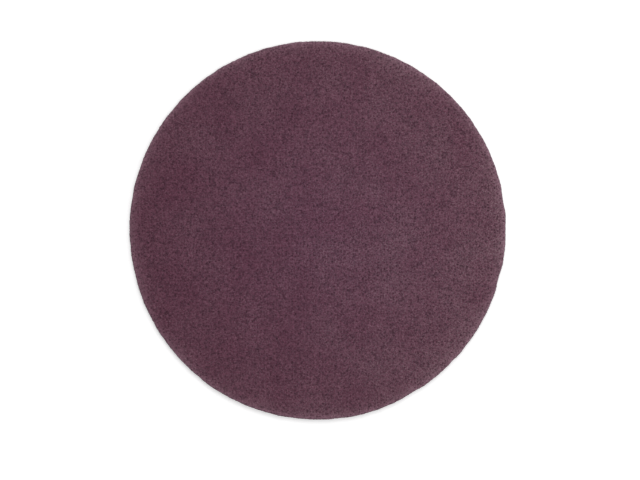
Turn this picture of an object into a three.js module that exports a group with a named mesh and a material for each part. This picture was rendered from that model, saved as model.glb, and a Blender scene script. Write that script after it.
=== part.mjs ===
// A thin round pad for a floor machine: one disc, die-cut from a lofted web of crimped nylon fibre
// that is needled, bonded with resin and loaded with fine abrasive. Both faces work alike.
// Millimetres, +Z up. The origin is the centre of the face that lies on the floor.

import * as THREE from "three";

// Driving dimensions
const padDiameter = 432; // the 17 inch machine size
const padThickness = 6.5;

// The cut edge, seen in section. The die enters from above and drags the web down with it, which
// leaves a soft shoulder and a wide round there, and a tighter round where it comes out below.
const shoulderWidth = 6;
const shoulderDrop = 0.35;
const upperEdgeRound = 1.8;
const lowerEdgeRound = 1;
const edgeBow = 0.5; // how far the wall swells out between the two rounds

// The outline is a little out of true, because the web is stretched when it is cut.
const ovalStretch = 0.59; // two lobes
const ovalDirection = 82; // degrees from +X to the first lobe
const threeLobeStretch = 0.28;
const threeLobeDirection = 22.5;

// Where the cut ran in or out of true: degrees from +X, the half width in degrees, and how far the
// edge falls inside the round. A negative fall is a stretch that stands proud.
const edgeFaults = [
  { at: 0, halfWidth: 1.8, fall: 0.4 },
  { at: 10, halfWidth: 2.2, fall: 0.75 },
  { at: 141, halfWidth: 1.6, fall: 0.4 },
  { at: 191, halfWidth: 6, fall: 0.45 },
  { at: 238, halfWidth: 6, fall: -0.35 },
  { at: 283, halfWidth: 7, fall: -0.55 },
  { at: 300, halfWidth: 3.6, fall: 0.75 },
  { at: 316, halfWidth: 2, fall: 0.55 },
  { at: 344.5, halfWidth: 2.4, fall: 1.15 },
];

// Loose fibre makes the edge slightly ragged all the way round.
const raggedness = 0.12;
const raggedWaves = [31, 47, 71]; // waves round the pad

// The carded web is uneven. Its thin patches lie as shallow hollows below the plane of each face.
const hollowDepth = 0.5;
const hollowSpacing = 34;
const flatShare = 0.42; // of the range from the thickest patch to the thinnest
const hollowMargin = 20; // the hollows fade out over this width inside the edge
const upperFacePatches = 1200; // seeds, one for each face's own pattern
const lowerFacePatches = 8100;
const seedsPerRow = 101; // more than the patches across the pad

// How the surface is divided: each face is rings of points about the centre, and every ring has one
// more point in each sector than the ring inside it. The edge has two points for each of the last's.
const sectorAngle = 60; // degrees, which makes the triangles near equal-sided
const edgePointAngle = 1.5; // degrees from one point of the edge to the next
const roundStepAngle = 22.5; // degrees of lean in each step of an edge round
const sectors = Math.round(360 / sectorAngle);
const faceRings = Math.round(360 / edgePointAngle / (2 * sectors));
const edgePoints = 2 * sectors * faceRings;
const edgeRoundSteps = Math.round(90 / roundStepAngle);
const roundLimit = 0.45; // share of the thickness that each round may take

const webMaterial = new THREE.MeshStandardMaterial({
  color: 0x5b3d4a,
  roughness: 0.95,
  metalness: 0,
});

const fullTurn = 2 * Math.PI;
const { degToRad, euclideanModulo, lerp, seededRandom, smoothstep } = THREE.MathUtils;

// The pad's radius in one direction, out to the middle of the bowed wall.
function outlineRadius(angle) {
  const oval = ovalStretch * Math.cos(2 * (angle - degToRad(ovalDirection)));
  const threeLobes = threeLobeStretch * Math.cos(3 * (angle - degToRad(threeLobeDirection)));
  let radius = padDiameter / 2 + oval + threeLobes;
  for (const { at, halfWidth, fall } of edgeFaults) {
    const away = euclideanModulo(angle - degToRad(at) + Math.PI, fullTurn) - Math.PI;
    radius -= fall * Math.exp(-((away / degToRad(halfWidth)) ** 2));
  }
  for (const waves of raggedWaves) radius += raggedness * Math.sin(waves * angle + waves ** 2);
  return radius;
}

// The edge in section, from the upper face's border down to the lower face's: how far each point
// lies inside the outline, and its height.
function edgeSection() {
  const shoulder = padThickness - shoulderDrop;
  const upperRound = Math.min(upperEdgeRound, roundLimit * shoulder);
  const lowerRound = Math.min(lowerEdgeRound, roundLimit * shoulder);
  const section = [{ inset: edgeBow + upperRound + shoulderWidth, height: padThickness }];
  for (let step = 0; step <= edgeRoundSteps; step++) {
    const lean = (step / edgeRoundSteps) * (fullTurn / 4);
    section.push({
      inset: edgeBow + upperRound * (1 - Math.sin(lean)),
      height: shoulder - upperRound * (1 - Math.cos(lean)),
    });
  }
  section.push({ inset: 0, height: (shoulder - upperRound + lowerRound) / 2 });
  for (let step = edgeRoundSteps; step >= 0; step--) {
    const lean = (step / edgeRoundSteps) * (fullTurn / 4);
    section.push({
      inset: edgeBow + lowerRound * (1 - Math.sin(lean)),
      height: lowerRound * (1 - Math.cos(lean)),
    });
  }
  return section;
}

// How thin the web is in one patch, from 0 to 1. The patch at the centre lies on the plane.
function patchThinness(column, row, seed) {
  if (column === 0 && row === 0) return 0;
  return seededRandom(seed + column + row * seedsPerRow);
}

// How deep the hollow is at a place on one face. It blends the four patches that lie round it.
function hollowAt(x, y, seed) {
  const column = Math.floor(x / hollowSpacing);
  const row = Math.floor(y / hollowSpacing);
  const across = smoothstep(x / hollowSpacing - column, 0, 1);
  const along = smoothstep(y / hollowSpacing - row, 0, 1);
  const near = lerp(patchThinness(column, row, seed), patchThinness(column + 1, row, seed), across);
  const far = lerp(
    patchThinness(column, row + 1, seed),
    patchThinness(column + 1, row + 1, seed),
    across,
  );
  const thinness = Math.max(0, lerp(near, far, along) - flatShare) / (1 - flatShare);
  const toEdge = padDiameter / 2 - Math.hypot(x, y);
  return hollowDepth * thinness * smoothstep(toEdge, hollowMargin / 2, hollowMargin * 1.5);
}

// The surface is collected as points and triangles, so that neighbouring parts share their points.
const points = [];
const triangles = [];

function addPoint(x, y, z) {
  points.push(x, y, z);
  return points.length / 3 - 1;
}

// The edge: one closed row of points for each point of the section, with a strip between two rows.
function addEdge(section) {
  const rows = section.map(({ inset, height }) =>
    Array.from({ length: edgePoints }, (_, i) => {
      const angle = (i / edgePoints) * fullTurn;
      const radius = outlineRadius(angle) - inset;
      return addPoint(radius * Math.cos(angle), radius * Math.sin(angle), height);
    }),
  );
  for (let r = 0; r + 1 < rows.length; r++) {
    for (let i = 0; i < edgePoints; i++) {
      const next = (i + 1) % edgePoints;
      triangles.push(rows[r][i], rows[r + 1][i], rows[r + 1][next]);
      triangles.push(rows[r][i], rows[r + 1][next], rows[r][next]);
    }
  }
  return rows;
}

// One ring of a face, with its points pushed into the web by the hollows.
function addRing(ring, borderInset, height, inward, seed) {
  const count = Math.max(1, sectors * ring);
  return Array.from({ length: count }, (_, i) => {
    const angle = (i / count) * fullTurn;
    const radius = (outlineRadius(angle) - borderInset) * (ring / (faceRings + 1));
    const x = radius * Math.cos(angle);
    const y = radius * Math.sin(angle);
    return addPoint(x, y, height + inward * hollowAt(x, y, seed));
  });
}

// A face, from the centre out to the border, which is the edge's own row of points. The hollows go
// down from the upper face and up from the lower one, so inward is -1 or 1.
function addFace(border, borderInset, height, inward, seed) {
  const addTriangle = (a, b, c) => triangles.push(...(inward < 0 ? [a, b, c] : [a, c, b]));
  let inner = addRing(0, borderInset, height, inward, seed);
  for (let ring = 1; ring <= faceRings; ring++) {
    const outer = addRing(ring, borderInset, height, inward, seed);
    for (let i = 0; i < outer.length; i++) {
      const step = i % ring;
      const start = Math.floor(i / ring) * (ring - 1) + step;
      const a = inner[start % inner.length];
      addTriangle(a, outer[i], outer[(i + 1) % outer.length]);
      if (step < ring - 1) {
        addTriangle(a, outer[(i + 1) % outer.length], inner[(start + 1) % inner.length]);
      }
    }
    inner = outer;
  }
  inner.forEach((a, i) => {
    const b = inner[(i + 1) % inner.length];
    const middle = border[2 * i + 1];
    addTriangle(a, border[2 * i], middle);
    addTriangle(a, middle, b);
    addTriangle(b, middle, border[(2 * i + 2) % edgePoints]);
  });
}

function padGeometry() {
  const section = edgeSection();
  const rows = addEdge(section);
  addFace(rows[0], section[0].inset, padThickness, -1, upperFacePatches);
  addFace(rows.at(-1), section.at(-1).inset, 0, 1, lowerFacePatches);
  const geometry = new THREE.BufferGeometry();
  geometry.setAttribute("position", new THREE.Float32BufferAttribute(points, 3));
  geometry.setIndex(triangles);
  geometry.computeVertexNormals();
  return geometry;
}

const pad = new THREE.Mesh(padGeometry(), webMaterial);
pad.name = "fibre_pad";

const floorPad = new THREE.Group();
floorPad.add(pad);

export default floorPad;
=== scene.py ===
import math

import bpy
import numpy as np
from bpy.props import FloatProperty, FloatVectorProperty, IntProperty, PointerProperty
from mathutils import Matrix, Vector
from mathutils.bvhtree import BVHTree
from mathutils.kdtree import KDTree


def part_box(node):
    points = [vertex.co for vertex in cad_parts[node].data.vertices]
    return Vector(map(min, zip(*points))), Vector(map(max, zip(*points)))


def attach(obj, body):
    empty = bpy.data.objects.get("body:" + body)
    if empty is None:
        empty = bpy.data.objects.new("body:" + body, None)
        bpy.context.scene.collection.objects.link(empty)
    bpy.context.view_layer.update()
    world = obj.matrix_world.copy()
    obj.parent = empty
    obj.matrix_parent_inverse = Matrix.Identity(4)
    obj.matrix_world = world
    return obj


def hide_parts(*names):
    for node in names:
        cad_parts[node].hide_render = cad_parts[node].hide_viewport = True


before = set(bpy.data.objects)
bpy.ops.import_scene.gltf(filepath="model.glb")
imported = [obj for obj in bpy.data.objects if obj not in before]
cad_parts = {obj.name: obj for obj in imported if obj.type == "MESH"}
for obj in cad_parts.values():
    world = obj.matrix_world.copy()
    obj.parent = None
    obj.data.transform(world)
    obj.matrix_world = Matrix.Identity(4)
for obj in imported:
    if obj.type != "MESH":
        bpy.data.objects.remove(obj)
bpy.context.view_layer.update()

bl_info = {
    "name": "Floor Polishing Pad",
    "version": (1, 0, 0),
    "blender": (4, 5, 0),
    "location": "3D View > Sidebar > Floor Pad",
    "description": "Builds a thin nonwoven floor pad: a porous web, its fibres, its cut edge and a stage",
    "category": "Add Mesh",
}

PAD_NODE = "fibre_pad"
PAD_BODY = "root"
_, PAD_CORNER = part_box(PAD_NODE)
HALF_WIDTH = PAD_CORNER.x
THICKNESS = PAD_CORNER.z

MM = 0.001
TURN = 2 * math.pi
SECTORS = 6  # each face is rings of points, with one more point in each sector from ring to ring
BAKE_MAP = "OFBake"

# The photograph, straight down: its frame, and where the middle of the disc lies in it.
PHOTO_WIDTH_PX = 640
PHOTO_HEIGHT_PX = 480
DISC_CENTRE_PX = (317.6, 230.1)
DISC_RADIUS_PX = 188.25


def linear(srgb_hex):
    """An sRGB colour such as 5B3D4A as linear red, green and blue."""
    shares = [int(srgb_hex[i : i + 2], 16) / 255 for i in (0, 2, 4)]
    return [c / 12.92 if c <= 0.04045 else ((c + 0.055) / 1.055) ** 2.4 for c in shares]


# Sizes and colours that a user would change


class PadWebSizes(bpy.types.PropertyGroup):
    """The lofted web that fills the pad."""

    face_rings: IntProperty(
        name="Face rings",
        description="Rings of points from the centre to the edge on each face",
        default=106,
        min=12,
        max=112,
    )
    sink: FloatProperty(
        name="Sink",
        description="How far the bulk of the web lies below the fibres that cover it",
        default=0.25 * MM,
        unit="LENGTH",
    )
    pore_spacing: FloatProperty(
        name="Pore spacing",
        description="From one open pore in the web to the next",
        default=3.4 * MM,
        unit="LENGTH",
    )
    pore_width: FloatProperty(
        name="Pore width",
        description="Across the mouth of the widest pore",
        default=2.0 * MM,
        unit="LENGTH",
    )
    pore_depth: FloatProperty(
        name="Pore depth",
        description="The deepest pore",
        default=0.7 * MM,
        unit="LENGTH",
    )
    roughness: FloatProperty(
        name="Roughness of the web",
        description="How unevenly the bonded fibre lies between the pores",
        default=0.13 * MM,
        unit="LENGTH",
    )
    seed: IntProperty(
        name="Seed",
        description="Another number gives another web of the same kind",
        default=17,
    )


class PadFibreSizes(bpy.types.PropertyGroup):
    """The crimped fibres that can be seen one by one."""

    thickness: FloatProperty(
        name="Fibre thickness",
        description="Two or three times the real 0.15 mm, so that it shows in a picture of the whole pad",
        default=0.36 * MM,
        unit="LENGTH",
    )
    length: FloatProperty(
        name="Fibre length",
        description="The stretch of one fibre that lies in sight",
        default=11 * MM,
        unit="LENGTH",
    )
    crimp: FloatProperty(
        name="Crimp",
        description="How far a fibre turns from one point to the next",
        default=math.radians(42),
        subtype="ANGLE",
    )
    fibres_per_lap: IntProperty(
        name="Fibres per lap",
        description="Each lap of the crosslapped web stays under 200,000 triangles",
        default=4500,
        min=1,
        max=4540,
    )
    underside_fibres: IntProperty(
        name="Underside fibres",
        description="Fibres in sight on the face that lies on the floor",
        default=3000,
        min=1,
        max=4540,
    )
    edge_fibres: IntProperty(
        name="Cut edge fibres",
        description="Short fibres that the die cut through",
        default=3200,
        min=1,
        max=6000,
    )
    edge_fibre_length: FloatProperty(
        name="Cut edge fibre length",
        description="The stretch of a cut fibre that shows in the wall",
        default=7 * MM,
        unit="LENGTH",
    )
    stray_reach: FloatProperty(
        name="Stray reach",
        description="How far a loose end stands out of the web",
        default=1.1 * MM,
        unit="LENGTH",
    )


class PadFinish(bpy.types.PropertyGroup):
    """Colours of the dyed resin on nylon fibre, with painted shade for the gaps and pores and painted rim
    light in the cut edge's colour.
    """

    web_colour: FloatVectorProperty(
        name="Web",
        description="The bonded strands of the bulk",
        subtype="COLOR",
        default=linear("6F4859"),
    )
    # The gaps between the strands are painted shade.
    gap_shade_colour: FloatVectorProperty(
        name="Gaps",
        description="The shade between the strands",
        subtype="COLOR",
        default=linear("4A2534"),
    )
    # Painted shade: the dark inside an open pore, used for the drawn pores and for the deep pores of the
    # mesh.
    pore_shade_colour: FloatVectorProperty(
        name="Pores",
        description="Deep in an open pore",
        subtype="COLOR",
        default=linear("391727"),
    )
    fibre_dark: FloatVectorProperty(
        name="Darker fibres",
        description="Fibres with a thick coat of resin",
        subtype="COLOR",
        default=linear("543041"),
    )
    fibre_light: FloatVectorProperty(
        name="Lighter fibres",
        description="Fibres that carry more pale grit",
        subtype="COLOR",
        default=linear("7A5267"),
    )
    # Partly the grey grit and bare fibre ends of the cut edge, partly painted rim light that the loose
    # edge fibres catch and let through.
    edge_and_rim_light_colour: FloatVectorProperty(
        name="Cut edge",
        description="Where the die opened the fibres and the grey grit shows",
        subtype="COLOR",
        default=linear("936F7E"),
    )


class PadStage(bpy.types.PropertyGroup):
    """The floor, the lamps and the camera."""

    lens: FloatProperty(name="Lens", description="Focal length", default=85, unit="CAMERA")
    sensor: FloatProperty(name="Sensor", description="Width of the sensor", default=36, unit="CAMERA")
    floor_size: FloatProperty(
        name="Floor", description="Side of the square floor", default=30, unit="LENGTH"
    )
    key_power: FloatProperty(
        name="Key lamp", description="The large soft lamp beyond the top edge", default=53, unit="POWER"
    )
    fill_power: FloatProperty(
        name="Fill lamp", description="The small lamp above the right half", default=1.2, unit="POWER"
    )
    world_strength: FloatProperty(
        name="Room light", description="Even light from all round", default=0.43
    )
    floor_lift: FloatProperty(
        name="Floor lift",
        description="How much whiter the floor looks to the camera than it is lit",
        default=0.39,
    )


# The solid pad, read with rays


class PadForm:
    """Where the surface of the CAD pad is, so that the web and the fibres keep its true form."""

    # The outline: how many directions it is read in, and at how many heights each time. They lie in
    # the band where the wall bows out furthest, in shares of the thickness.
    DIRECTIONS = 720
    HEIGHTS = 5
    WIDEST_BAND = (0.25, 0.6)

    def __init__(self):
        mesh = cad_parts[PAD_NODE].data
        corners = [v.co for v in mesh.vertices]
        self.tree = BVHTree.FromPolygons(corners, [p.vertices for p in mesh.polygons])
        self.angles = np.linspace(0, TURN, self.DIRECTIONS, endpoint=False)
        heights = np.linspace(*self.WIDEST_BAND, self.HEIGHTS) * THICKNESS
        walls = [self.wall_radius(self.angles, np.full(self.DIRECTIONS, h)) for h in heights]
        self.radii = np.max(walls, axis=0)

    def wall_radius(self, angles, heights):
        """How far out the wall is in each direction, at each height."""
        far = 2 * HALF_WIDTH
        radii = []
        for angle, height in zip(angles, heights):
            way = Vector((math.cos(angle), math.sin(angle), 0))
            start = way * far + Vector((0, 0, height))
            radii.append(self.tree.ray_cast(start, -way)[0].xy.length)
        return np.array(radii)

    def face_height(self, x, y, side):
        """The height of the upper face (side 1) or the lower face (side -1) at each place."""
        start = THICKNESS * (0.5 + side)
        way = Vector((0, 0, -side))
        hits = (self.tree.ray_cast(Vector((a, b, start)), way)[0] for a, b in zip(x, y))
        return np.array([hit.z for hit in hits])

    def outline(self, angles):
        """The widest radius in each direction."""
        return np.interp(angles % TURN, self.angles, self.radii, period=TURN)

    def inset(self, x, y):
        """How far inside the outline each place lies."""
        return self.outline(np.arctan2(y, x)) - np.hypot(x, y)


class Pores:
    """The open pores of one face, the upper (side 1) or the lower (side -1): a lattice of pits, each
    moved a little and with its own depth. A deeper one is wider."""

    JITTER = 0.4  # how far a pore moves either way, as a share of the spacing
    SHALLOWEST = 0.3  # as a share of the deepest

    def __init__(self, sizes, side):
        draw = np.random.default_rng(sizes.seed + 2 + side)
        across = np.arange(-HALF_WIDTH, HALF_WIDTH, sizes.pore_spacing)
        centres = np.array(np.meshgrid(across, across)).reshape(2, -1)
        centres += draw.uniform(-self.JITTER, self.JITTER, centres.shape) * sizes.pore_spacing
        share = draw.uniform(self.SHALLOWEST, 1, centres.shape[1])
        self.widths = sizes.pore_width * (1 + share) / 2
        self.depths = sizes.pore_depth * share
        self.tree = KDTree(centres.shape[1])
        for i, (a, b) in enumerate(centres.T):
            self.tree.insert((a, b, 0), i)
        self.tree.balance()

    def depth(self, x, y):
        """How deep the nearest pore is at each place."""
        found = [self.tree.find((a, b, 0)) for a, b in zip(x, y)]
        nearest = np.array([index for _, index, _ in found])
        away = np.array([distance for _, _, distance in found])
        return self.depths[nearest] * np.exp(-((2 * away / self.widths[nearest]) ** 2))


# Meshes


def new_piece(name, points, triangles, corners_uv, facts, material):
    """A mesh object from arrays. facts holds one number for each point, for the materials to read."""
    mesh = bpy.data.meshes.new(name)
    mesh.vertices.add(len(points))
    mesh.vertices.foreach_set("co", points.astype(np.float32).ravel())
    mesh.loops.add(triangles.size)
    mesh.loops.foreach_set("vertex_index", triangles.astype(np.int32).ravel())
    mesh.polygons.add(len(triangles))
    mesh.polygons.foreach_set("loop_start", np.arange(0, triangles.size, 3, dtype=np.int32))
    mesh.polygons.foreach_set("use_smooth", np.ones(len(triangles), dtype=bool))
    bake_map = mesh.uv_layers.new(name=BAKE_MAP)
    bake_map.data.foreach_set("uv", corners_uv.astype(np.float32).ravel())
    for fact, values in facts.items():
        layer = mesh.attributes.new(fact, "FLOAT", "POINT")
        layer.data.foreach_set("value", values.astype(np.float32))
    mesh.update(calc_edges=True)
    if mesh.validate():
        raise RuntimeError(f"{name} has broken faces")
    mesh.materials.append(material)
    piece = bpy.data.objects.new(name, mesh)
    bpy.context.scene.collection.objects.link(piece)
    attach(piece, PAD_BODY)
    return piece


def ring_triangles(ring, inner, outer):
    """The triangles between two rings of a face. The outer one has one more point in each sector."""
    i = np.arange(len(outer))
    step = i % ring
    start = i // ring * (ring - 1) + step
    after = outer[(i + 1) % len(outer)]
    a = inner[start % len(inner)]
    whole = np.column_stack([a, outer, after])
    b = inner[(start + 1) % len(inner)]
    return np.vstack([whole, np.column_stack([a, after, b])[step < ring - 1]])


def strip_triangles(upper, lower):
    """The triangles between two rows of as many points, seen from outside the pad."""
    upper_next, lower_next = np.roll(upper, -1), np.roll(lower, -1)
    first = np.column_stack([upper, lower, lower_next])
    return np.vstack([first, np.column_stack([upper, lower_next, upper_next])])


class WebMesh:
    """The closed skin of the web: two faces of rings, and the wall between them."""

    # The rings that follow the rounded edge of a face: how far each lies inside the outline.
    EDGE_INSETS = (5.2 * MM, 3.6 * MM, 2.4 * MM, 1.6 * MM, 1.0 * MM)
    WALL_ROWS = 4

    # The map that bakes use holds both faces corner to corner, with the wall in four strips beside.
    FACE_CENTRES = {1: (0.29, 0.29), -1: (0.71, 0.71)}
    FACE_RADIUS = 0.2784
    STRIPS = 4
    STRIP_CORNER = (0.02, 0.64)
    STRIP_LENGTH = 0.38
    STRIP_PITCH = 0.06
    STRIP_HEIGHT = 0.03

    def __init__(self, form, sizes):
        self.form, self.sizes = form, sizes
        self.draw = np.random.default_rng(sizes.seed)
        self.pores = {side: Pores(sizes, side) for side in (1, -1)}
        self.points, self.pore, self.triangles, self.uv = [], [], [], []
        self.count = 0

    def add_points(self, points, pore):
        """Adds a row of points and gives their numbers."""
        self.points.append(points)
        self.pore.append(pore)
        self.count += len(points)
        return np.arange(self.count - len(points), self.count)

    def face_points(self, side, radii, angles):
        """Points of a face, on the solid's surface, less the sink, the pores and the unevenness."""
        x, y = radii * np.cos(angles), radii * np.sin(angles)
        depth = self.pores[side].depth(x, y)
        loft = self.draw.normal(0, self.sizes.roughness, len(x))
        height = self.form.face_height(x, y, side)
        sunk = self.sizes.sink + depth + np.clip(loft, -self.sizes.sink, self.sizes.sink)
        points = np.column_stack([x, y, height - side * sunk])
        return self.add_points(points, depth / self.sizes.pore_depth)

    def add_face(self, side):
        """Adds one face and gives the row of points that it ends with."""
        rings = self.sizes.face_rings
        strips = []
        inner = self.face_points(side, np.zeros(1), np.zeros(1))
        for ring in range(1, rings + 1):
            count = SECTORS * ring
            angles = np.arange(count) * TURN / count
            border = self.form.outline(angles) - self.EDGE_INSETS[0]
            outer = self.face_points(side, border * ring / rings, angles)
            strips.append(ring_triangles(ring, inner, outer))
            inner = outer
        for inset in self.EDGE_INSETS[1:]:
            outer = self.face_points(side, self.form.outline(angles) - inset, angles)
            strips.append(strip_triangles(inner, outer))
            inner = outer
        # Seen from below, the same rows turn the other way round.
        triangles = np.vstack(strips)[:, ::side]
        self.triangles.append(triangles)
        self.map_face(side, triangles)
        return inner

    def map_face(self, side, triangles):
        """The face's place on the bake map, as seen from its own side."""
        flat = np.vstack(self.points)[triangles.ravel()][:, :2] * self.FACE_RADIUS / HALF_WIDTH
        flat[:, 0] *= side
        self.uv.append(flat + self.FACE_CENTRES[side])

    def add_wall(self, upper, lower):
        """The wall between the last rows of the two faces."""
        points = np.vstack(self.points)
        angles = np.arange(len(upper)) * TURN / len(upper)
        top, bottom = points[upper][:, 2], points[lower][:, 2]
        rows = [upper]
        for row in range(1, self.WALL_ROWS + 1):
            share = row / (self.WALL_ROWS + 1)
            heights = top + (bottom - top) * share
            rough = np.abs(self.draw.normal(0, 2 * self.sizes.roughness, len(upper)))
            radii = self.form.wall_radius(angles, heights) - self.sizes.sink - rough
            wall = np.column_stack([radii * np.cos(angles), radii * np.sin(angles), heights])
            rows.append(self.add_points(wall, rough / self.sizes.pore_depth))
        rows.append(lower)
        for row in range(len(rows) - 1):
            self.triangles.append(strip_triangles(rows[row], rows[row + 1]))
            self.map_strip(row, len(upper))

    def map_strip(self, row, count):
        """One row of the wall on the bake map, a quarter turn to each strip."""
        i = np.arange(count)
        corners = [(0, 0), (0, 1), (1, 1), (0, 0), (1, 1), (1, 0)]
        uv = np.empty((2, count, 3, 2))
        for k, (along, down) in enumerate(corners):
            strip = i * self.STRIPS // count
            start = strip * count / self.STRIPS
            share = (i + along - start) * self.STRIPS / count
            u = self.STRIP_CORNER[0] + share * self.STRIP_LENGTH
            fall = (row + down) / (self.WALL_ROWS + 1)
            v = self.STRIP_CORNER[1] + strip * self.STRIP_PITCH + (1 - fall) * self.STRIP_HEIGHT
            uv[k // 3, :, k % 3] = np.column_stack([u, v])
        self.uv.append(uv.reshape(-1, 2))

    def build(self, material):
        """Makes the piece."""
        upper = self.add_face(1)
        lower = self.add_face(-1)
        self.add_wall(upper, lower)
        points = np.vstack(self.points)
        # The pore depth, which the materials turn into painted shade, and the share of the cut edge's
        # paler look, partly painted rim light.
        facts = {
            "pore": np.concatenate(self.pore),
            "edge": edge_and_rim_light_share(self.form.inset(points[:, 0], points[:, 1])),
        }
        triangles, uv = np.vstack(self.triangles), np.vstack(self.uv)
        return new_piece("web_body", points, triangles, uv, facts, material)


# The cut edge's paler look is partly bare fibre ends and grit, and partly painted rim light.
EDGE_AND_RIM_LIGHT_FADE = 4.4 * MM  # from the outline in to where a third of the cut edge's look is left


def edge_and_rim_light_share(inset):
    """How much of the cut edge's paler look, partly bare fibre ends and grit and partly painted rim
    light, a place has: 1 at the outline, and soon less inwards.
    """
    return np.exp(-np.maximum(inset, 0) / EDGE_AND_RIM_LIGHT_FADE)


# The crimp of a fibre: the spread of its curl to one side and the limits of its wave, as shares of the
# crimp, and the limits of how many radians of the wave lie between two points.
CURL = 0.45
WAVES = (0.4, 1)
WAVE_PITCH = (0.9, 1.6)


def crimped_headings(draw, headings, count, crimp):
    """The direction of each piece of each fibre, which curls one way and waves as well."""
    steps = np.arange(count)
    curl = draw.normal(0, CURL * crimp, (len(headings), 1))
    wave = crimp * draw.uniform(*WAVES, (len(headings), 1))
    phase = draw.uniform(0, TURN, (len(headings), 1))
    pitch = draw.uniform(*WAVE_PITCH, (len(headings), 1))
    return headings[:, None] + curl * steps + wave * np.cumsum(np.sin(phase + pitch * steps), axis=1)


def walk(headings, step):
    """Paths that go one step in each heading, from half their length behind their middle."""
    across = np.cumsum(step * np.cos(headings), axis=1)
    along = np.cumsum(step * np.sin(headings), axis=1)
    across -= across.mean(axis=1, keepdims=True)
    along -= along.mean(axis=1, keepdims=True)
    return across, along


TUBE_SIDES = 3  # one corner stands outward, so each fibre shows two of its three sides


def tube_mesh(paths, outward, radii):
    """Closed tubes along the paths, all with the same number of points, and the triangles of one."""
    fibres, count, _ = paths.shape
    ahead = np.gradient(paths, axis=1)
    ahead /= np.linalg.norm(ahead, axis=2, keepdims=True)
    sideways = np.cross(ahead, outward)
    sideways /= np.linalg.norm(sideways, axis=2, keepdims=True)
    lift = np.cross(sideways, ahead)
    turns = TURN / 4 + TURN * np.arange(TUBE_SIDES) / TUBE_SIDES
    rim = np.cos(turns)[:, None] * sideways[:, :, None] + np.sin(turns)[:, None] * lift[:, :, None]
    points = paths[:, :, None] + radii[:, :, None, None] * rim
    corner = np.arange(count * TUBE_SIDES).reshape(count, TUBE_SIDES)
    a, b = corner[:-1], np.roll(corner, -1, axis=1)[:-1]
    c, d = corner[1:], np.roll(corner, -1, axis=1)[1:]
    sides = np.vstack([np.stack([a, b, d], -1).reshape(-1, 3), np.stack([a, d, c], -1).reshape(-1, 3)])
    ends = np.array([corner[0][::-1], corner[-1]])
    one = np.vstack([sides, ends])
    triangles = one + (np.arange(fibres) * corner.size)[:, None, None]
    return points.reshape(-1, 3), triangles.reshape(-1, 3), one


def fibre_map(fibres, count, one):
    """A small square of the bake map for each fibre, with its length along it."""
    cells = math.ceil(math.sqrt(fibres))
    margin = 0.2
    along = np.repeat(np.arange(count) / (count - 1), TUBE_SIDES)
    across = np.tile(np.arange(TUBE_SIDES) / (TUBE_SIDES - 1), count)
    cell = margin + (1 - 2 * margin) * np.column_stack([along, across])[one.ravel()]
    place = np.column_stack([np.arange(fibres) % cells, np.arange(fibres) // cells])
    return ((cell[None] + place[:, None]) / cells).reshape(-1, 2)


# A fibre's thickness at places along its length, its limits from fibre to fibre, and the two numbers
# of the beta draw of its tone: most fibres lie between dark and light, and more are dark than light.
TAPER_PLACES = (0, 0.2, 0.8, 1)
TAPER = (0.55, 1, 1, 0.55)
FIBRE_WIDTHS = (0.7, 1.15)
TONE_DRAW = (1.5, 1.8)


def add_fibres(name, paths, outward, draw, form, thickness, pore, material):
    """One piece of many fibres, each with its own tone, thinner towards its ends."""
    fibres, count, _ = paths.shape
    taper = np.interp(np.linspace(0, 1, count), TAPER_PLACES, TAPER)
    radii = thickness / 2 * draw.uniform(*FIBRE_WIDTHS, (fibres, 1)) * taper
    points, triangles, one = tube_mesh(paths, outward, radii)
    # pore is how deep the pore under each point lies, which the material turns into painted shade; edge
    # carries the cut edge's paler look, partly painted rim light.
    facts = {
        "tone": np.repeat(draw.beta(*TONE_DRAW, fibres), count * TUBE_SIDES),
        "pore": np.repeat(pore.ravel(), TUBE_SIDES),
        "edge": edge_and_rim_light_share(form.inset(points[:, 0], points[:, 1])),
    }
    return new_piece(name, points, triangles, fibre_map(fibres, count, one), facts, material)


FACE_FIBRE_POINTS = 8
EDGE_FIBRE_POINTS = 6

# How far fibres lie off the CAD surface, as a mean and a spread, how much deeper their ends dip into
# the web, the share of fibres with a loose end, and how high those stand as shares of the stray reach.
FACE_RISE = (-0.14 * MM, 0.13 * MM)
FACE_END_DIP = 0.3 * MM
FACE_LOOSE = 0.05
FACE_STRAY = (0.3, 1)
LOOSE_BEND = 0.4  # the rise of the point before a loose end, as a share of the end's own
EDGE_RISE = (-0.22 * MM, 0.12 * MM)
EDGE_END_DIP = 0.5 * MM
EDGE_LOOSE = 0.08
EDGE_STRAY = (0.1, 0.6)
EDGE_MARGINS = (0.7 * MM, 1.2 * MM)  # what the fibres of the wall leave free below and above
CUT_BACK = (0.6 * MM, 1.6 * MM)  # how far inside the outline the die leaves a fibre of the faces
LOWEST = 0.6  # the lowest middle of a fibre over the floor, as a share of its thickness
LAP_SPREAD = 0.9  # radians, the spread about the lap's own direction


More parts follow.
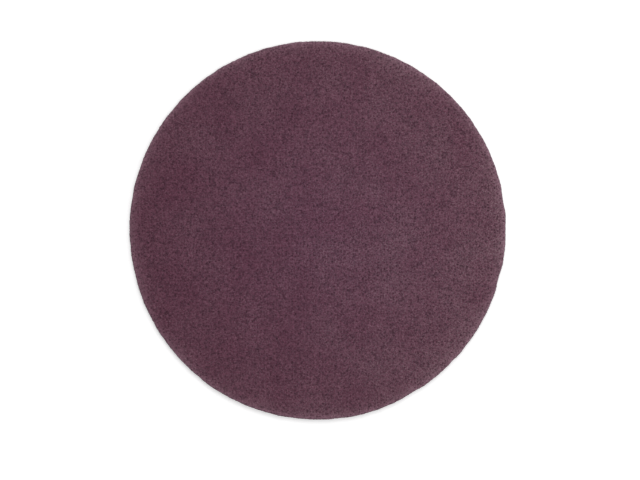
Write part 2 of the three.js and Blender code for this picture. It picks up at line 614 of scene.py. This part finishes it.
def add_face_fibres(name, side, fibres, form, pores, sizes, seed, material):
    """Fibres that lie in one face, dip into its pores, and have a few loose ends."""
    draw = np.random.default_rng(seed)
    count = FACE_FIBRE_POINTS
    turn = draw.uniform(0, TURN, fibres)
    middle = form.outline(turn) * np.sqrt(draw.uniform(0, 1, fibres))
    # The web is crosslapped, so a little more of the fibre runs across the lap than along it.
    headings = TURN / 4 + draw.normal(0, LAP_SPREAD, fibres)
    headings = crimped_headings(draw, headings, count, sizes.crimp)
    across, along = walk(headings, sizes.length / (count - 1))
    x = (middle * np.cos(turn))[:, None] + across
    y = (middle * np.sin(turn))[:, None] + along
    # The die cut off what lay past the edge, so no fibre goes beyond it.
    angles, radii = np.arctan2(y, x), np.hypot(x, y)
    limit = form.outline(angles) - draw.uniform(*CUT_BACK, (fibres, 1))
    radii = np.minimum(radii, limit)
    x, y = radii * np.cos(angles), radii * np.sin(angles)
    height = form.face_height(x.ravel(), y.ravel(), side).reshape(x.shape)
    pore = pores.depth(x.ravel(), y.ravel()).reshape(x.shape)
    rise = draw.normal(*FACE_RISE, x.shape)
    rise[:, [0, -1]] -= FACE_END_DIP
    if side > 0:
        loose = draw.uniform(0, 1, fibres) < FACE_LOOSE
        rise[loose, -1] = draw.uniform(*FACE_STRAY, loose.sum()) * sizes.stray_reach
        rise[loose, -2] = LOOSE_BEND * rise[loose, -1]
    z = np.maximum(height + side * (rise - pore), LOWEST * sizes.thickness)
    paths = np.stack([x, y, z], axis=-1)
    outward = np.broadcast_to(np.array([0.0, 0.0, side]), paths.shape)
    share = pore / pores.depths.max()
    return add_fibres(name, paths, outward, draw, form, sizes.thickness, share, material)


def add_edge_fibres(form, sizes, seed, material):
    """Short fibres in the cut wall. Their ends lead back into the web, or stand out where loose."""
    draw = np.random.default_rng(seed)
    fibres, count = sizes.edge_fibres, EDGE_FIBRE_POINTS
    headings = crimped_headings(draw, draw.uniform(0, TURN, fibres), count, sizes.crimp)
    round_rim, up = walk(headings, sizes.edge_fibre_length / (count - 1))
    start = draw.uniform(0, TURN, fibres)
    angles = start[:, None] + round_rim / HALF_WIDTH
    below, above = EDGE_MARGINS
    middle = draw.uniform(below, THICKNESS - below, (fibres, 1))
    z = np.clip(middle + up, below, THICKNESS - above)
    wall = form.wall_radius(angles.ravel(), z.ravel()).reshape(z.shape)
    rise = draw.normal(*EDGE_RISE, z.shape)
    rise[:, [0, -1]] -= EDGE_END_DIP
    loose = draw.uniform(0, 1, fibres) < EDGE_LOOSE
    rise[loose, -1] = draw.uniform(*EDGE_STRAY, loose.sum()) * sizes.stray_reach
    radii = wall + rise
    paths = np.stack([radii * np.cos(angles), radii * np.sin(angles), z], axis=-1)
    outward = np.stack([np.cos(angles), np.sin(angles), np.zeros(z.shape)], axis=-1)
    pore = np.zeros(z.shape)
    return add_fibres("cut_edge_fibres", paths, outward, draw, form, sizes.thickness, pore, material)


# Materials

# The patterns of the web, in millimetres from one of a kind to the next. Real grit is about 0.05 mm
# across and a real fibre 0.15 mm, too fine for a picture of the whole pad. So the clots of grit are
# drawn many times as coarse and the strands two to three times, and the pores at their real spacing.
DYE_DRIFT = 60.0
CLOTS = (1.5, 1.0)
PORES = 3.4
GRIT = 0.4
STRAND_WIDTH = 0.4
STRAND_LENGTH = 4.5
STRAND_BEND = 5.0
STRAND_SWAY = 3.0  # the most that a bend moves a strand
STRAND_TURNS = (15, 62, 104, 158)  # degrees, one for each layer of strands

# How far each thing swings the colour to either side: the dye from patch to patch, the painted light that
# makes the pad paler evenly from left to right, the clots, and the painted cool sheen that makes the
# middle of the pad bluer than its rim.
DYE_SWING = 0.075
PAINTED_LIGHT_SLOPE = 0.1
CLOT_SWING = 0.175
PAINTED_SHEEN_SWING = 0.04

# The small drawn pores, painted shade: where the dark floor ends and where the mouth ends, in shares of
# the spacing, and the lightest and the darkest.
# Then the pores of the mesh, which get painted shade on top of their real pits: the depth, as a share of
# the deepest, from which they darken the web, and how dark the deepest makes it.
PORE_MOUTH = (0.1, 0.42)
PORE_SHADE = (0.15, 0.9)
DEEP_FROM = 0.4
DEEP_SHADE = 0.2

# How much faster green and blue fall in thick resin than red, as powers of what red keeps.
GREEN_FALL = 2.2
BLUE_FALL = 1.5

# A noise texture gives 0 to 1, but seldom leaves these limits, so they are its working range.
NOISE_RANGE = (0.3, 0.7)
CLOT_RANGE = (0.2, 0.8)  # wider, so that the clots stay soft
STRAND_RANGE = (0.48, 0.66)  # the upper part, so that a strand is narrower than the gap beside it


def add_node(tree, kind, sockets=(), **settings):
    """Adds a node with its settings and links. sockets are its inputs, in order or by name, each with
    a value or with the socket or node that feeds it. A node feeds by its first output in use."""
    made = tree.nodes.new(kind)
    for setting, value in settings.items():
        setattr(made, setting, value)
    if isinstance(sockets, dict):
        inputs = [(made.inputs[name], value) for name, value in sockets.items()]
    else:
        inputs = zip([socket for socket in made.inputs if socket.enabled], sockets)
    for socket, value in inputs:
        if isinstance(value, bpy.types.Node):
            value = next(output for output in value.outputs if output.enabled)
        if isinstance(value, bpy.types.NodeSocket):
            tree.links.new(value, socket)
        else:
            socket.default_value = value
    return made


def new_material(name):
    """A material with no nodes yet, and its tree."""
    material = bpy.data.materials.new(name)
    material.use_nodes = True
    material.node_tree.nodes.clear()
    return material, material.node_tree


def millimetres(tree):
    """The place on the pad in millimetres, so that a pattern's scale is one over a real size."""
    place = add_node(tree, "ShaderNodeTexCoord").outputs["Object"]
    return add_node(tree, "ShaderNodeVectorMath", (place, 1 / MM), operation="SCALE")


def folded_down(tree, place):
    """The place in plan, pushed outwards as it goes down, so that a flat pattern folds over the wall."""
    height = add_node(tree, "ShaderNodeSeparateXYZ", (place,)).outputs["Z"]
    sockets = (height, -MM / HALF_WIDTH, 1.0)
    push = add_node(tree, "ShaderNodeMath", sockets, operation="MULTIPLY_ADD")
    return add_node(tree, "ShaderNodeVectorMath", (place, push), operation="SCALE")


def opaque(colour):
    """A colour with full alpha, as colour sockets take it."""
    return (*colour, 1.0)


def resin_tint_and_painted_light(tree, place, plan, edge):
    """What the resin does to a colour, together with painted light: dye that drifts across the pad, clots
    of resin and grit, painted light that makes the pad paler evenly towards +X, and a painted cool sheen
    that makes its middle bluer. Where the resin is thin the web is paler and greyer, and where it is
    thick the colour is deeper. At the cut edge, where the grey grit and the painted rim light show, it
    swings between pale and dark only."""
    dye = add_node(tree, "ShaderNodeTexNoise", {"Vector": place, "Scale": 1 / DYE_DRIFT})
    share = add_node(tree, "ShaderNodeMapRange", (dye, *NOISE_RANGE, 1 - DYE_SWING, 1 + DYE_SWING))
    # Painted light: the colour grows paler evenly towards +X.
    across = add_node(tree, "ShaderNodeSeparateXYZ", (place,)).outputs["X"]
    reach = HALF_WIDTH / MM
    painted_light_slope = add_node(tree, "ShaderNodeMapRange", (across, -reach, reach, 1 - PAINTED_LIGHT_SLOPE, 1 + PAINTED_LIGHT_SLOPE))
    share = add_node(tree, "ShaderNodeMath", (share, painted_light_slope), operation="MULTIPLY")
    for size in CLOTS:
        sockets = {"Vector": plan, "Scale": 1 / size, "Detail": 0.0}
        clots = add_node(tree, "ShaderNodeTexNoise", sockets, noise_dimensions="2D")
        sockets = (clots, *CLOT_RANGE, 1 - CLOT_SWING, 1 + CLOT_SWING)
        swing = add_node(tree, "ShaderNodeMapRange", sockets)
        share = add_node(tree, "ShaderNodeMath", (share, swing), operation="MULTIPLY")
    green = add_node(tree, "ShaderNodeMath", (share, GREEN_FALL), operation="POWER")
    blue = add_node(tree, "ShaderNodeMath", (share, BLUE_FALL), operation="POWER")
    # Painted cool sheen: bluer in the middle of the pad than at its rim.
    away = add_node(tree, "ShaderNodeVectorMath", (place,), operation="LENGTH")
    painted_sheen = add_node(tree, "ShaderNodeMapRange", (away, 0.0, reach, 1 + PAINTED_SHEEN_SWING, 1 - PAINTED_SHEEN_SWING))
    blue = add_node(tree, "ShaderNodeMath", (blue, painted_sheen), operation="MULTIPLY")
    tint = add_node(tree, "ShaderNodeCombineColor", (share, green, blue))
    return add_node(tree, "ShaderNodeMix", (edge, tint, share), data_type="RGBA")


def crossing_strands(tree, plan):
    """The bonded strands of the web, which bend and cross: 1 on top of a strand and 0 in the gaps."""
    sockets = {"Vector": plan, "Scale": 1 / STRAND_BEND, "Detail": 0.0}
    bend = add_node(tree, "ShaderNodeTexNoise", sockets, noise_dimensions="2D").outputs["Color"]
    sockets = (bend, (STRAND_SWAY, STRAND_SWAY, STRAND_SWAY), plan)
    bent = add_node(tree, "ShaderNodeVectorMath", sockets, operation="MULTIPLY_ADD")
    top = 0.0
    for turn in STRAND_TURNS:
        size = (STRAND_LENGTH, STRAND_WIDTH, 1.0)
        sockets = {"Vector": bent, "Rotation": (0.0, 0.0, math.radians(turn)), "Scale": size}
        lane = add_node(tree, "ShaderNodeMapping", sockets, vector_type="TEXTURE")
        sockets = {"Vector": lane, "Scale": 1.0, "Detail": 0.0}
        lumps = add_node(tree, "ShaderNodeTexNoise", sockets, noise_dimensions="2D")
        strand = add_node(tree, "ShaderNodeMapRange", (lumps, *STRAND_RANGE, 0.0, 1.0))
        top = add_node(tree, "ShaderNodeMath", (strand, top), operation="MAXIMUM")
    return top


def painted_pore_mouth_shade(tree, plan):
    """How dark the small drawn pores are at each place, each with its own shade: painted shade for the
    dark inside a pore. The deep pores are in the mesh, and get painted shade as well."""
    sockets = {"Vector": plan, "Scale": 1 / PORES, "Randomness": 0.85}
    cells = add_node(tree, "ShaderNodeTexVoronoi", sockets, voronoi_dimensions="2D")
    mouths = add_node(tree, "ShaderNodeMapRange", (cells, *PORE_MOUTH, 1.0, 0.0))
    draw = add_node(tree, "ShaderNodeSeparateColor", (cells.outputs["Color"],))
    shades = add_node(tree, "ShaderNodeMapRange", (draw, 0.0, 1.0, *PORE_SHADE))
    return add_node(tree, "ShaderNodeMath", (mouths, shades), operation="MULTIPLY")


def web_colour(tree, place, plan, colour, finish):
    """Gives a colour what the body and the fibres share. It is paler at the cut edge, partly from bare
    fibre ends and grit and partly from painted rim light, uneven with the resin and the painted light,
    and darkened by painted shade where a pore opens, also on the fibres that lead down into it."""
    edge = add_node(tree, "ShaderNodeAttribute", attribute_name="edge").outputs["Fac"]
    sockets = (edge, colour, opaque(finish.edge_and_rim_light_colour))
    colour = add_node(tree, "ShaderNodeMix", sockets, data_type="RGBA")
    sockets = (1.0, colour, resin_tint_and_painted_light(tree, place, plan, edge))
    colour = add_node(tree, "ShaderNodeMix", sockets, data_type="RGBA", blend_type="MULTIPLY")
    # Painted shade in the pores: the drawn mouths, then the deep pores of the mesh.
    pore = add_node(tree, "ShaderNodeAttribute", attribute_name="pore").outputs["Fac"]
    deep = add_node(tree, "ShaderNodeMapRange", (pore, DEEP_FROM, 1.0, 0.0, DEEP_SHADE))
    for dark in (painted_pore_mouth_shade(tree, plan), deep):
        sockets = (dark, colour, opaque(finish.pore_shade_colour))
        colour = add_node(tree, "ShaderNodeMix", sockets, data_type="RGBA")
    return colour


def resin_bonded_nylon_web(finish):
    """Needled nylon web under a sprayed phenolic resin with aluminium oxide grit. It looks matte and
    dusty, with bonded strands that cross over gaps of painted shade, and painted shade in the mouths
    where pores open."""
    material, tree = new_material("resin_bonded_nylon_web")
    place = millimetres(tree)
    plan = folded_down(tree, place)
    strands = crossing_strands(tree, plan)
    # The gaps between the strands get painted shade.
    sockets = (strands, opaque(finish.gap_shade_colour), opaque(finish.web_colour))
    colour = add_node(tree, "ShaderNodeMix", sockets, data_type="RGBA")
    relief = {"Strength": 0.7, "Distance": 0.25 * MM, "Height": strands}
    sockets = {
        "Base Color": web_colour(tree, place, plan, colour, finish),
        "Roughness": 0.9,
        "IOR": 1.53,
        "Specular IOR Level": 0.3,
        "Normal": add_node(tree, "ShaderNodeBump", relief),
    }
    shader = add_node(tree, "ShaderNodeBsdfPrincipled", sockets)
    add_node(tree, "ShaderNodeOutputMaterial", (shader,))
    return material


def resin_coated_nylon_fibre(finish):
    """Crimped nylon staple with a coat of dyed resin and fine grit. Each fibre has its own tone, and
    a dull gloss along its length that the grit breaks up."""
    material, tree = new_material("resin_coated_nylon_fibre")
    place = millimetres(tree)
    plan = folded_down(tree, place)
    tone = add_node(tree, "ShaderNodeAttribute", attribute_name="tone").outputs["Fac"]
    sockets = (tone, opaque(finish.fibre_dark), opaque(finish.fibre_light))
    colour = add_node(tree, "ShaderNodeMix", sockets, data_type="RGBA")
    grit = add_node(tree, "ShaderNodeTexNoise", {"Vector": place, "Scale": 1 / GRIT, "Detail": 0.0})
    relief = {"Strength": 0.5, "Distance": 0.06 * MM, "Height": grit}
    sockets = {
        "Base Color": web_colour(tree, place, plan, colour, finish),
        "Roughness": add_node(tree, "ShaderNodeMapRange", (grit, *NOISE_RANGE, 0.55, 0.8)),
        "IOR": 1.53,
        "Specular IOR Level": 0.35,
        "Normal": add_node(tree, "ShaderNodeBump", relief),
    }
    shader = add_node(tree, "ShaderNodeBsdfPrincipled", sockets)
    add_node(tree, "ShaderNodeOutputMaterial", (shader,))
    return material


def seen_by_camera(tree):
    """1 for what the camera sees, also in a gloss or through something clear, and 0 for other light."""
    ray = add_node(tree, "ShaderNodeLightPath").outputs
    sockets = (ray["Is Camera Ray"], ray["Is Glossy Ray"])
    seen = add_node(tree, "ShaderNodeMath", sockets, operation="MAXIMUM")
    return add_node(tree, "ShaderNodeMath", (seen, ray["Is Transmission Ray"]), operation="MAXIMUM")


# The floor keeps its shadows out to the first distance from the middle of the pad, and is plain white
# from the second.
CARD_COLOUR = linear("ECECEC")
SHADOW_ENDS = 1.2 * HALF_WIDTH
WHITE_FROM = 6 * HALF_WIDTH


def matte_white_card(stage):
    """A floor of matte white card. It looks whiter to the camera than the light on it makes it, keeps
    the pad's shadow, and goes over into plain white away from the pad."""
    material, tree = new_material("matte_white_card")
    card = add_node(tree, "ShaderNodeBsdfDiffuse", {"Color": opaque(CARD_COLOUR)})
    place = add_node(tree, "ShaderNodeTexCoord").outputs["Object"]
    away = add_node(tree, "ShaderNodeVectorMath", (place,), operation="LENGTH")
    sockets = (away, SHADOW_ENDS, WHITE_FROM, stage.floor_lift, 1.0)
    lift = add_node(tree, "ShaderNodeMapRange", sockets)
    level = add_node(tree, "ShaderNodeMath", (seen_by_camera(tree), lift), operation="MULTIPLY")
    glow = add_node(tree, "ShaderNodeEmission", {"Strength": level})
    both = add_node(tree, "ShaderNodeAddShader", (card, glow))
    add_node(tree, "ShaderNodeOutputMaterial", (both,))
    return material


def white_room(strength):
    """A world of even light from all round, and a white background for the camera."""
    world = bpy.data.worlds.new("white_room")
    world.use_nodes = True
    tree = world.node_tree
    tree.nodes.clear()
    level = add_node(tree, "ShaderNodeMapRange", (seen_by_camera(tree), 0.0, 1.0, strength, 1.0))
    light = add_node(tree, "ShaderNodeBackground", {"Color": opaque((1, 1, 1)), "Strength": level})
    add_node(tree, "ShaderNodeOutputWorld", (light,))
    return world


def add_area_lamp(name, size, power, azimuth, elevation, distance):
    """A soft lamp that looks at the middle of the pad. Its size is its width and height in metres, the
    azimuth is in degrees from +X, and the elevation in degrees from the floor."""
    data = bpy.data.lights.new(name, "AREA")
    data.shape = "RECTANGLE"
    data.size, data.size_y = size
    data.energy = power
    lamp = bpy.data.objects.new(name, data)
    turn, rise = math.radians(azimuth), math.radians(elevation)
    way = Vector((math.cos(turn) * math.cos(rise), math.sin(turn) * math.cos(rise), math.sin(rise)))
    lamp.location = way * distance
    lamp.rotation_euler = way.to_track_quat("Z", "Y").to_euler()
    bpy.context.scene.collection.objects.link(lamp)


# Operators

# Each piece of fibres has its own draw of random numbers, this far from the web's seed.
LAP_SEED = 10
UNDERSIDE_SEED = 20
EDGE_SEED = 30


class FLOORPAD_OT_web(bpy.types.Operator):
    """Builds the porous web in the form of the CAD pad"""

    bl_idname = "floorpad.web"
    bl_label = "Web"
    bl_options = {"REGISTER", "UNDO"}

    def execute(self, context):
        material = resin_bonded_nylon_web(context.scene.pad_finish)
        body = WebMesh(PadForm(), context.scene.pad_web).build(material)
        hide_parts(PAD_NODE)
        return {"FINISHED"}


class FLOORPAD_OT_fibres(bpy.types.Operator):
    """Lays the fibres of the two faces and of the cut edge"""

    bl_idname = "floorpad.fibres"
    bl_label = "Fibres"
    bl_options = {"REGISTER", "UNDO"}

    def execute(self, context):
        web, sizes = context.scene.pad_web, context.scene.pad_fibres
        form = PadForm()
        material = resin_coated_nylon_fibre(context.scene.pad_finish)
        upper, lower = Pores(web, 1), Pores(web, -1)
        laps = ("first_lap_fibres", "second_lap_fibres", "third_lap_fibres")
        for lap, name in enumerate(laps):
            seed = web.seed + LAP_SEED + lap
            add_face_fibres(name, 1, sizes.fibres_per_lap, form, upper, sizes, seed, material)
        seed = web.seed + UNDERSIDE_SEED
        count = sizes.underside_fibres
        add_face_fibres("underside_fibres", -1, count, form, lower, sizes, seed, material)
        add_edge_fibres(form, sizes, web.seed + EDGE_SEED, material)
        return {"FINISHED"}


class FLOORPAD_OT_stage(bpy.types.Operator):
    """Adds the floor, the lamps and the camera that looks straight down"""

    bl_idname = "floorpad.stage"
    bl_label = "Stage"
    bl_options = {"REGISTER", "UNDO"}

    def execute(self, context):
        stage = context.scene.pad_stage
        half = stage.floor_size / 2
        mesh = bpy.data.meshes.new("floor")
        corners = [(-half, -half, 0), (half, -half, 0), (half, half, 0), (-half, half, 0)]
        mesh.from_pydata(corners, [], [(0, 1, 2, 3)])
        mesh.materials.append(matte_white_card(stage))
        floor = bpy.data.objects.new("floor", mesh)
        context.scene.collection.objects.link(floor)
        context.scene.world = white_room(stage.world_strength)
        key = {"azimuth": 90, "elevation": 45, "distance": 4.0}
        add_area_lamp("key_lamp", (2.6, 1.8), stage.key_power, **key)
        fill = {"azimuth": 0, "elevation": 70, "distance": 0.6}
        add_area_lamp("fill_lamp", (0.6, 0.6), stage.fill_power, **fill)
        context.scene.view_settings.view_transform = "Standard"
        self.add_camera(context, stage)
        return {"FINISHED"}

    def add_camera(self, context, stage):
        """A camera as high as gives the disc its size in the photograph."""
        pixel = HALF_WIDTH / DISC_RADIUS_PX
        data = bpy.data.cameras.new("camera")
        data.lens, data.sensor_width = stage.lens, stage.sensor
        camera = bpy.data.objects.new("camera", data)
        camera.location = (
            (PHOTO_WIDTH_PX / 2 - DISC_CENTRE_PX[0]) * pixel,
            (DISC_CENTRE_PX[1] - PHOTO_HEIGHT_PX / 2) * pixel,
            THICKNESS / 2 + PHOTO_WIDTH_PX * pixel * stage.lens / stage.sensor,
        )
        context.scene.collection.objects.link(camera)
        context.scene.camera = camera


class FLOORPAD_PT_sidebar(bpy.types.Panel):
    """The pad's sizes, colours and steps"""

    bl_idname = "FLOORPAD_PT_sidebar"
    bl_label = "Floor Pad"
    bl_space_type = "VIEW_3D"
    bl_region_type = "UI"
    bl_category = "Floor Pad"

    def draw(self, context):
        for name, title in GROUPS:
            box = self.layout.box()
            box.label(text=title)
            group = getattr(context.scene, name)
            for setting in group.bl_rna.properties.keys():
                if setting not in ("rna_type", "name"):
                    box.prop(group, setting)
        for operator in STEPS:
            self.layout.operator(operator.bl_idname)


GROUPS = (("pad_web", "Web"), ("pad_fibres", "Fibres"), ("pad_finish", "Finish"), ("pad_stage", "Stage"))
GROUP_TYPES = (PadWebSizes, PadFibreSizes, PadFinish, PadStage)
STEPS = (FLOORPAD_OT_web, FLOORPAD_OT_fibres, FLOORPAD_OT_stage)


def register():
    for made in (*GROUP_TYPES, *STEPS, FLOORPAD_PT_sidebar):
        bpy.utils.register_class(made)
    for (name, _), group in zip(GROUPS, GROUP_TYPES):
        setattr(bpy.types.Scene, name, PointerProperty(type=group))


def unregister():
    for name, _ in GROUPS:
        delattr(bpy.types.Scene, name)
    for made in reversed((*GROUP_TYPES, *STEPS, FLOORPAD_PT_sidebar)):
        bpy.utils.unregister_class(made)


def main():
    """Builds the whole scene."""
    register()
    bpy.ops.floorpad.web()
    bpy.ops.floorpad.fibres()
    bpy.ops.floorpad.stage()


if __name__ == "__main__":
    main()
